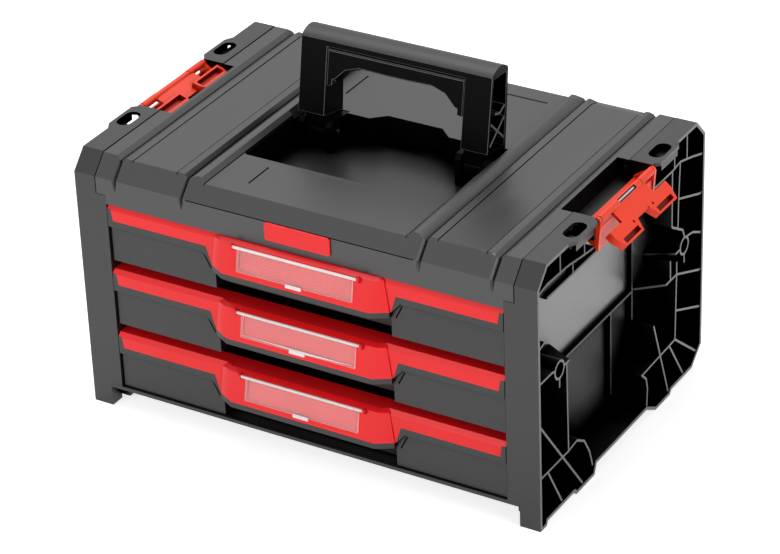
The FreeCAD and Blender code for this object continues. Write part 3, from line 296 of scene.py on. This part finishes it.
def moulding(name, material, ease_mm, cutters=(), rounds=(), shape=None):
    """A copy of a CAD node with its triangles merged, its lines engraved and its edges eased."""
    bpy.ops.object.select_all(action="DESELECT")
    source = frame["nodes"][name]
    source.select_set(True)
    bpy.context.view_layer.objects.active = source
    bpy.ops.object.duplicate()
    piece = bpy.context.object
    piece.name = name + "_moulding"
    piece.parent = None
    piece.data.materials.clear()
    piece.data.materials.append(material)
    bpy.ops.object.mode_set(mode="EDIT")
    bpy.ops.mesh.select_all(action="SELECT")
    bpy.ops.mesh.remove_doubles(threshold=merge_mm * MM)
    bpy.ops.mesh.dissolve_limited(angle_limit=flat_angle)
    bpy.ops.object.mode_set(mode="OBJECT")
    if shape:
        shape(piece)
    engraved(piece, cutters)
    for chosen, width_mm, rounding in rounds:
        rounded(piece, chosen, width_mm, rounding)
    if ease_mm:
        ease = piece.modifiers.new("ease", "BEVEL")
        ease.width = ease_mm * MM
        ease.segments = ease_segments
        ease.limit_method = "ANGLE"
        ease.angle_limit = sharp_angle
        ease.use_clamp_overlap = True
        ease.harden_normals = False
        bpy.ops.object.modifier_apply(modifier=ease.name)
    bpy.ops.object.shade_smooth_by_angle(angle=smooth_angle)
    flat = piece.modifiers.new("flat_faces", "WEIGHTED_NORMAL")
    flat.keep_sharp = True
    bpy.ops.object.modifier_apply(modifier=flat.name)
    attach(piece, body_of_node[name])
    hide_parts(name)
    return piece


slack = 0.5                   # how far a test reaches past the face that it looks for
margin = 1.0                  # and past the sides of a recess
wall_tilt = 0.5               # a wall's normal has less than this of z
facing = 0.9                  # a face along an axis has more than this of it in its normal
notch_end = 51.0              # the latch's notch runs this far each way
notch_inner = 192.1
shelf_top = 229.5
web_face = (196.0, 202.0)     # range of the web's outer face
web_half = 112.0
web_rib = 116.0               # the rib across the web, with duller fields in painted shade below it
web_ior = 1.75
rib_level = 223.6             # the ribs end outside this
rib_facing = 0.8
rib_half = 150.0
rib_top = 226.0

# Polypropylene off a spark-eroded mould: an even satin grey-black, with painted shade that turns
# its cells black.
frame_plastic = moulded_plastic(
    "polypropylene_spark_eroded_dark_grey", "#1a1818", 0.36, 0.9, sheen=0.62,
    cell_painted_shade=0.01, cell=(0.6, 0.97))
# Painted shade: the same plastic made near black, with next to no sheen, for recess walls that lie
# in shade.
painted_shade_recess_plastic = moulded_plastic(
    "polypropylene_painted_shade_recess", "#080707", 0.30, 0.9, sheen=0.03)
# The web's upper field with a painted highlight: a lighter colour and a raised reflection stand in
# for the lamp at the right.
painted_highlight_web_plastic = moulded_plastic("polypropylene_painted_highlight_web", "#2c2a29", 0.30, 0.9, sheen=1.0)
# The raised IOR paints a stronger reflection onto the web than its plastic has.
painted_highlight_web_plastic.node_tree.nodes["Principled BSDF"].inputs["IOR"].default_value = web_ior
# Its lower fields with painted shade: a darker, duller copy of the web that fades into the ribs'
# painted shade.
painted_shade_web_plastic = moulded_plastic(
    "polypropylene_painted_shade_web", "#151414", 0.42, 0.9, sheen=0.25, cell_painted_shade=0.0, cell=(0.75, 1.0))
# The ribs' ends with a painted highlight: thin light lines across the cells' painted shade.
painted_highlight_rib_plastic = moulded_plastic("polypropylene_painted_highlight_rib_edge", "#3c3a39", 0.32, 0.9, sheen=0.9)


def web(middle, normal):
    """Flat web between the ribs: smoother than the outside, with a painted highlight above its rib
    and painted shade below.
    """
    across = web_face[0] < abs(middle.x) < web_face[1]
    return across and abs(normal.x) > facing and abs(middle.y) < web_half


def low_web(middle, normal):
    """Fields of the web below its rib."""
    return web(middle, normal) and middle.z < web_rib


def split_web(piece):
    """Cuts the web's large faces along its rib, so that the upper field takes the painted highlight
    and the lower fields the painted shade.
    """
    bpy.ops.object.mode_set(mode="EDIT")
    bpy.ops.mesh.select_all(action="SELECT")
    bpy.ops.mesh.bisect(plane_co=(0, 0, web_rib * MM), plane_no=(0, 0, 1))
    bpy.ops.object.mode_set(mode="OBJECT")


def rib_end(middle, normal):
    """Ends of the ribs, level with the frame's outside."""
    inside = abs(middle.y) < rib_half and middle.z < rib_top
    return abs(middle.x) > rib_level and abs(normal.x) > rib_facing and inside


def notch_wall(middle, normal):
    """Walls round the notch that the latch folds into."""
    beside = abs(middle.y) < notch_end + slack and middle.z > shelf_top + slack
    return beside and notch_inner - margin < abs(middle.x) < rib_level and abs(normal.z) < wall_tilt


for side in ("left", "right"):
    side_frame = moulding("side_frame_" + side, frame_plastic, ease_mm=0.5, shape=split_web)
    # Painted shade on the notch's walls and the web's lower fields; painted highlights on the web's
    # upper field and the ribs' ends.
    finish(side_frame, painted_shade_recess_plastic, notch_wall)
    finish(side_frame, painted_highlight_web_plastic, web)
    finish(side_frame, painted_shade_web_plastic, low_web)
    finish(side_frame, painted_highlight_rib_plastic, rib_end)
    moulding("inner_wall_" + side, frame_plastic, ease_mm=0)


# Top cover
# Ribbed cover with a bevel along its front and back and the handle's pocket in the middle.
# It is one polypropylene moulding, set on the side frames.
top_z = 248.0                 # of the side strips
front_field = 243.7
back_field = 239.8
pocket_floor = 213.3
pocket_half = 98.0
pocket_front = -80.5
pocket_back = 42.5
pocket_round = 1.3            # radius between the pocket's walls and floor
lug_back = 34.7
hair = 0.1                    # tests with this tell a face or an edge from its close neighbour
side_fields = (124.0, 174.0, 3.3)   # inner side, outer side and lift of the flat fields
outer_valleys = (183.0, 185.0, 1.8)
field_skin = 240.8            # between the top's outer and inner face
field_fall = 129.0            # the side fields fall away behind this
bevel_inner = -140.0
bevel_slope = 16 / 17
bevel_foot = 231.0
line_half = 1.0
line_depth = 0.8
back_line_y = 125.6
rear_line_x = -82.6
front_line_x = -65.4
field_lines = [               # plain grooves in the middle field and at the bevel's foot
    ((-83.5, 85.5), (back_line_y - line_half, back_line_y + line_half),
     (back_field - line_depth, top_z)),
    ((rear_line_x - line_half, rear_line_x + line_half), (62.5, 101.0),
     (back_field - line_depth, top_z)),
    ((front_line_x - line_half, front_line_x + line_half), (-123.5, -92.0),
     (front_field - line_depth, top_z)),
    ((-111.0, 111.0), (-154.0, -153.0 + line_depth), (bevel_foot - line_half, bevel_foot))]

# The same plastic off a smoother mould: a glossier satin, lighter than the frames from above.
cover_plastic = moulded_plastic(
    "polypropylene_spark_eroded_cover", "#1b191a", 0.36, 0.9, sheen=0.85)
# The polished round at the pocket's foot, painted lighter as a highlight: a thin light line between
# the walls' painted shade and the floor.
painted_highlight_radius_plastic = moulded_plastic(
    "polypropylene_painted_highlight_radius", "#5a585a", 0.25, 0.9, sheen=1.0, cell_painted_shade=1.0, seam_painted_shade=1.0)


def level_side_fields(piece):
    """Sets the flat fields between the ribs just under the side strips, with a fall behind."""
    bpy.ops.object.mode_set(mode="EDIT")
    bpy.ops.mesh.select_all(action="SELECT")
    bpy.ops.mesh.bisect(plane_co=(0, field_fall * MM, 0), plane_no=(0, 1, 0))
    bpy.ops.object.mode_set(mode="OBJECT")
    for vertex in piece.data.vertices:
        x, y, z = vertex.co / MM
        for inner, outer, lift in (side_fields, outer_valleys):
            if inner < abs(x) < outer and z > field_skin and y < field_fall + slack:
                vertex.co.z += lift * MM
                if y < bevel_inner:
                    vertex.co.y += lift * bevel_slope * MM


def pocket_foot(a, b):
    """Edges where the pocket's walls and lugs meet its floor."""
    level = max(abs(a.z - pocket_floor), abs(b.z - pocket_floor)) < hair
    return level and max(abs(a.x), abs(b.x)) < pocket_half + slack


def pocket_wall(middle, normal):
    """Walls of the pocket, and all of the lugs that stand in it."""
    across = abs(middle.x) < pocket_half + margin
    along = pocket_front - margin < middle.y < pocket_back + margin
    lug = abs(middle.x) < pocket_half - hair and pocket_front + hair < middle.y < lug_back
    height = pocket_floor + pocket_round < middle.z < front_field - hair
    return across and along and height and (lug or abs(normal.z) < wall_tilt)


cover = moulding(
    "top_cover", cover_plastic, ease_mm=0.3, cutters=field_lines,
    rounds=[(pocket_foot, pocket_round, painted_highlight_radius_plastic)], shape=level_side_fields)
# Painted shade: the pocket's walls and lugs and the notch's walls take the near-black plastic.
finish(cover, painted_shade_recess_plastic, pocket_wall)
finish(cover, painted_shade_recess_plastic, notch_wall)


# Back and bottom
# Flat panels in the same polypropylene that close the case between the side frames.
# The back's lip reaches up inside the cover, and the bottom has ribs below and a sill in front.
for name in ("back_panel", "bottom_panel"):
    moulding(name, frame_plastic, ease_mm=0.4)


# Badge
# Plain red plate, left bare, in polished ABS.
# It is fixed flat on the front of the cover.

# ABS off a polished mould: a deep red with a soft gloss, and painted shade in its hollows.
red_plastic = moulded_plastic(
    "abs_polished_red", "#ff1a20", 0.32, 1.2, mottle=0.03, sheen=0.42, cell_painted_shade=0.5, seam_painted_shade=1.0)
moulding("badge", red_plastic, ease_mm=0.5)


# Handle
# Hollow handle in glass-filled nylon, with ribs across the hollows of its legs.
# It turns on two steel pins through the cover's lugs and folds forward into the pocket.
leg_foot_y = 1.8              # lower front edge of a leg
leg_foot_z = 249.0
leg_foot_slack = 0.3
leg_round = 1.0
crown_foot = 316.0            # the crown lies above this
crown_tilt = 0.35
rib_edges_x = (92.4, 93.5)    # the ribs' edges in the legs' hollows lie between these
rib_edges_foot = 250.0

# Nylon with glass fibre: a deep black with a faint grain on the flat front.
handle_plastic = moulded_plastic(
    "nylon_glass_filled_black", "#040404", 0.34, 1.0, sheen=0.05)
# A painted highlight on the crown's upward faces: a lighter grey satin copy of the nylon.
painted_highlight_crown_plastic = moulded_plastic(
    "nylon_glass_filled_painted_highlight", "#1f1d1d", 0.46, 1.0, mottle=0.08, cell_painted_shade=1.0, seam_painted_shade=1.0)
# Its thin edges with a painted highlight: pale lines round the hollows' painted shade.
painted_highlight_edge_plastic = moulded_plastic(
    "nylon_glass_filled_painted_highlight_edge", "#6a6868", 0.35, 1.0, sheen=0.8, cell_painted_shade=1.0, seam_painted_shade=1.0)


def leg_foot(a, b):
    """Lower front edge of each leg."""
    return all(
        abs(end.y - leg_foot_y) < leg_foot_slack and abs(end.z - leg_foot_z) < leg_foot_slack
        for end in (a, b))


def crown_face(middle, normal):
    """Rounded top of the grip."""
    return normal.z > crown_tilt and middle.z > crown_foot


def rib_edge(middle, normal):
    """Edges of the ribs in the legs' hollows."""
    outside = rib_edges_x[0] < abs(middle.x) < rib_edges_x[1]
    return abs(normal.x) > facing and outside and middle.z > rib_edges_foot


# The legs' lower front edges are rounded and take the painted highlight.
handle = moulding(
    "handle", handle_plastic, ease_mm=0.4, rounds=[(leg_foot, leg_round, painted_highlight_edge_plastic)])
# Painted highlights on the crown's upward faces and on the ribs' edges.
finish(handle, painted_highlight_crown_plastic, crown_face)
finish(handle, painted_highlight_edge_plastic, rib_edge)


# Steel
# Hinge pins, screws and the three members of each drawer slide, all zinc-plated.
# The members are rolled from strip; the outer is screwed to an inner wall, the inner to a tray.
streak_mm = 0.8
streak_stretch = 0.02         # the streaks are this much narrower than long
streak_spread = 0.08


def plated_steel(name, colour, roughness):
    """Zinc plate over cold-rolled steel, with fine streaks along the strip.

    The real streaks are under 0.1 mm wide, too fine to show, so they are drawn wider.
    """
    material = bpy.data.materials.new(name)
    material.use_nodes = True
    tree = material.node_tree
    shader = tree.nodes["Principled BSDF"]
    shader.inputs["Metallic"].default_value = 1.0
    shader.inputs["Base Color"].default_value = linear(colour)
    place = node(tree, "ShaderNodeTexCoord")
    stretch = node(tree, "ShaderNodeMapping", {"Scale": (1.0, streak_stretch, 1.0)}, {
        "Vector": place.outputs["Object"]})
    streak = node(tree, "ShaderNodeTexNoise", {"Scale": 1 / (streak_mm * MM), "Detail": 2.0}, {
        "Vector": stretch.outputs["Vector"]})
    matt = node(tree, "ShaderNodeMapRange", {
        "From Min": noise_range[0], "From Max": noise_range[1],
        "To Min": roughness - streak_spread, "To Max": roughness + streak_spread}, {
        "Value": streak.outputs["Fac"]})
    tree.links.new(matt.outputs["Result"], shader.inputs["Roughness"])
    return material


# Zinc on steel: a bright pale grey that breaks up along the strip.
steel = plated_steel("steel_zinc_plated", "#b9bbbe", 0.3)
for name in sorted(body_of_node):
    if source_slot[name] in ("steel", "slide_steel"):
        moulding(name, steel, ease_mm=0)


# Latches
# Orange-red latches with two hollow teeth, in ABS.
# Each turns on a steel pin through the ears of its base, which sits on the notch's shelf.

# ABS with a warmer pigment than the drawer fronts: a satin orange-red, with painted shade in its
# hollows and seams.
latch_plastic = moulded_plastic(
    "abs_satin_orange_red", "#ff3a10", 0.34, 1.2, mottle=0.03, cell_painted_shade=0.25, seam_painted_shade=0.6)
for side in ("left", "right"):
    moulding("latch_" + side, latch_plastic, ease_mm=0.35)
    moulding("latch_base_" + side, latch_plastic, ease_mm=0.4)


# Drawers
# Dark polypropylene trays, each with a red ABS front whose pull bulges out in the middle.
# The front is fixed over the tray's own face, and the tray hangs between its two slides.
rim_front = -152.0            # the rim and the pull's foot stand before this, the panels behind

# Polypropylene off a spark-eroded mould: a flat dark grey, duller than the frames.
tray_plastic = moulded_plastic(
    "polypropylene_spark_eroded_tray", "#1b1a1a", 0.40, 0.9, sheen=0.58)
# The tray's polished rim: a darker line, with a cool tint beside the red.
rim_plastic = moulded_plastic(
    "polypropylene_polished_rim", "#18201e", 0.34, 0.9, mottle=0.04, sheen=0.55)


def rim(middle, normal):
    """Rim of the tray and the foot of its pull."""
    return middle.y < rim_front


for number in ("1", "2", "3"):
    tray = moulding("drawer_tray_" + number, tray_plastic, ease_mm=0.5)
    finish(tray, rim_plastic, rim)
    moulding("drawer_front_" + number, red_plastic, ease_mm=0.5)


# Label covers
# Clear polycarbonate flaps over the bare label fields, one on each drawer's pull.
# Each turns on the bar along its top, between two ears of the front, and has a tab to lift it.
first_foot = 23.0             # height of the lowest drawer's foot
drawer_pitch = 63.75
hinge_rise = 51.694           # drawer's foot to the label's hinge line
bar_drop = 1.6                # hinge line to the bar's lower side
window_drop = 18.5            # hinge line to the window's lower edge
window_half = 54.8
polycarbonate_ior = 1.585


def polycarbonate(name, transmission, roughness):
    """Polished polycarbonate, with a faint warm tint painted in for the red light from behind it.
    """
    material = bpy.data.materials.new(name)
    material.use_nodes = True
    shader = material.node_tree.nodes["Principled BSDF"]
    shader.inputs["Base Color"].default_value = linear("#fdf6f5")
    shader.inputs["Roughness"].default_value = roughness
    shader.inputs["IOR"].default_value = polycarbonate_ior
    shader.inputs["Transmission Weight"].default_value = transmission
    return material


# The clear window: the red behind shows through a soft white veil.
label_plastic = polycarbonate("polycarbonate_clear_polished", 0.95, 0.12)
# A painted highlight: the bar, the rim round the window and the tab made opaque white, where the
# light gathers on the edges.
painted_highlight_white = polycarbonate("polycarbonate_painted_highlight_edge", 0.0, 0.35)


def painted_highlight_parts(hinge_z):
    """A test for the bar, the rim round the window and the pull tab of one flap, which take the
    painted highlight.
    """
    def test(middle, normal):
        bar = middle.z > hinge_z - bar_drop
        tab = middle.z < hinge_z - window_drop
        side_rim = abs(middle.x) > window_half
        return bar or tab or side_rim
    return test


for count, number in enumerate(("1", "2", "3")):
    label = moulding("label_cover_" + number, label_plastic, ease_mm=0.2)
    # The bar, the window's rim and the tab take the painted white highlight.
    finish(label, painted_highlight_white, painted_highlight_parts(first_foot + count * drawer_pitch + hinge_rise))
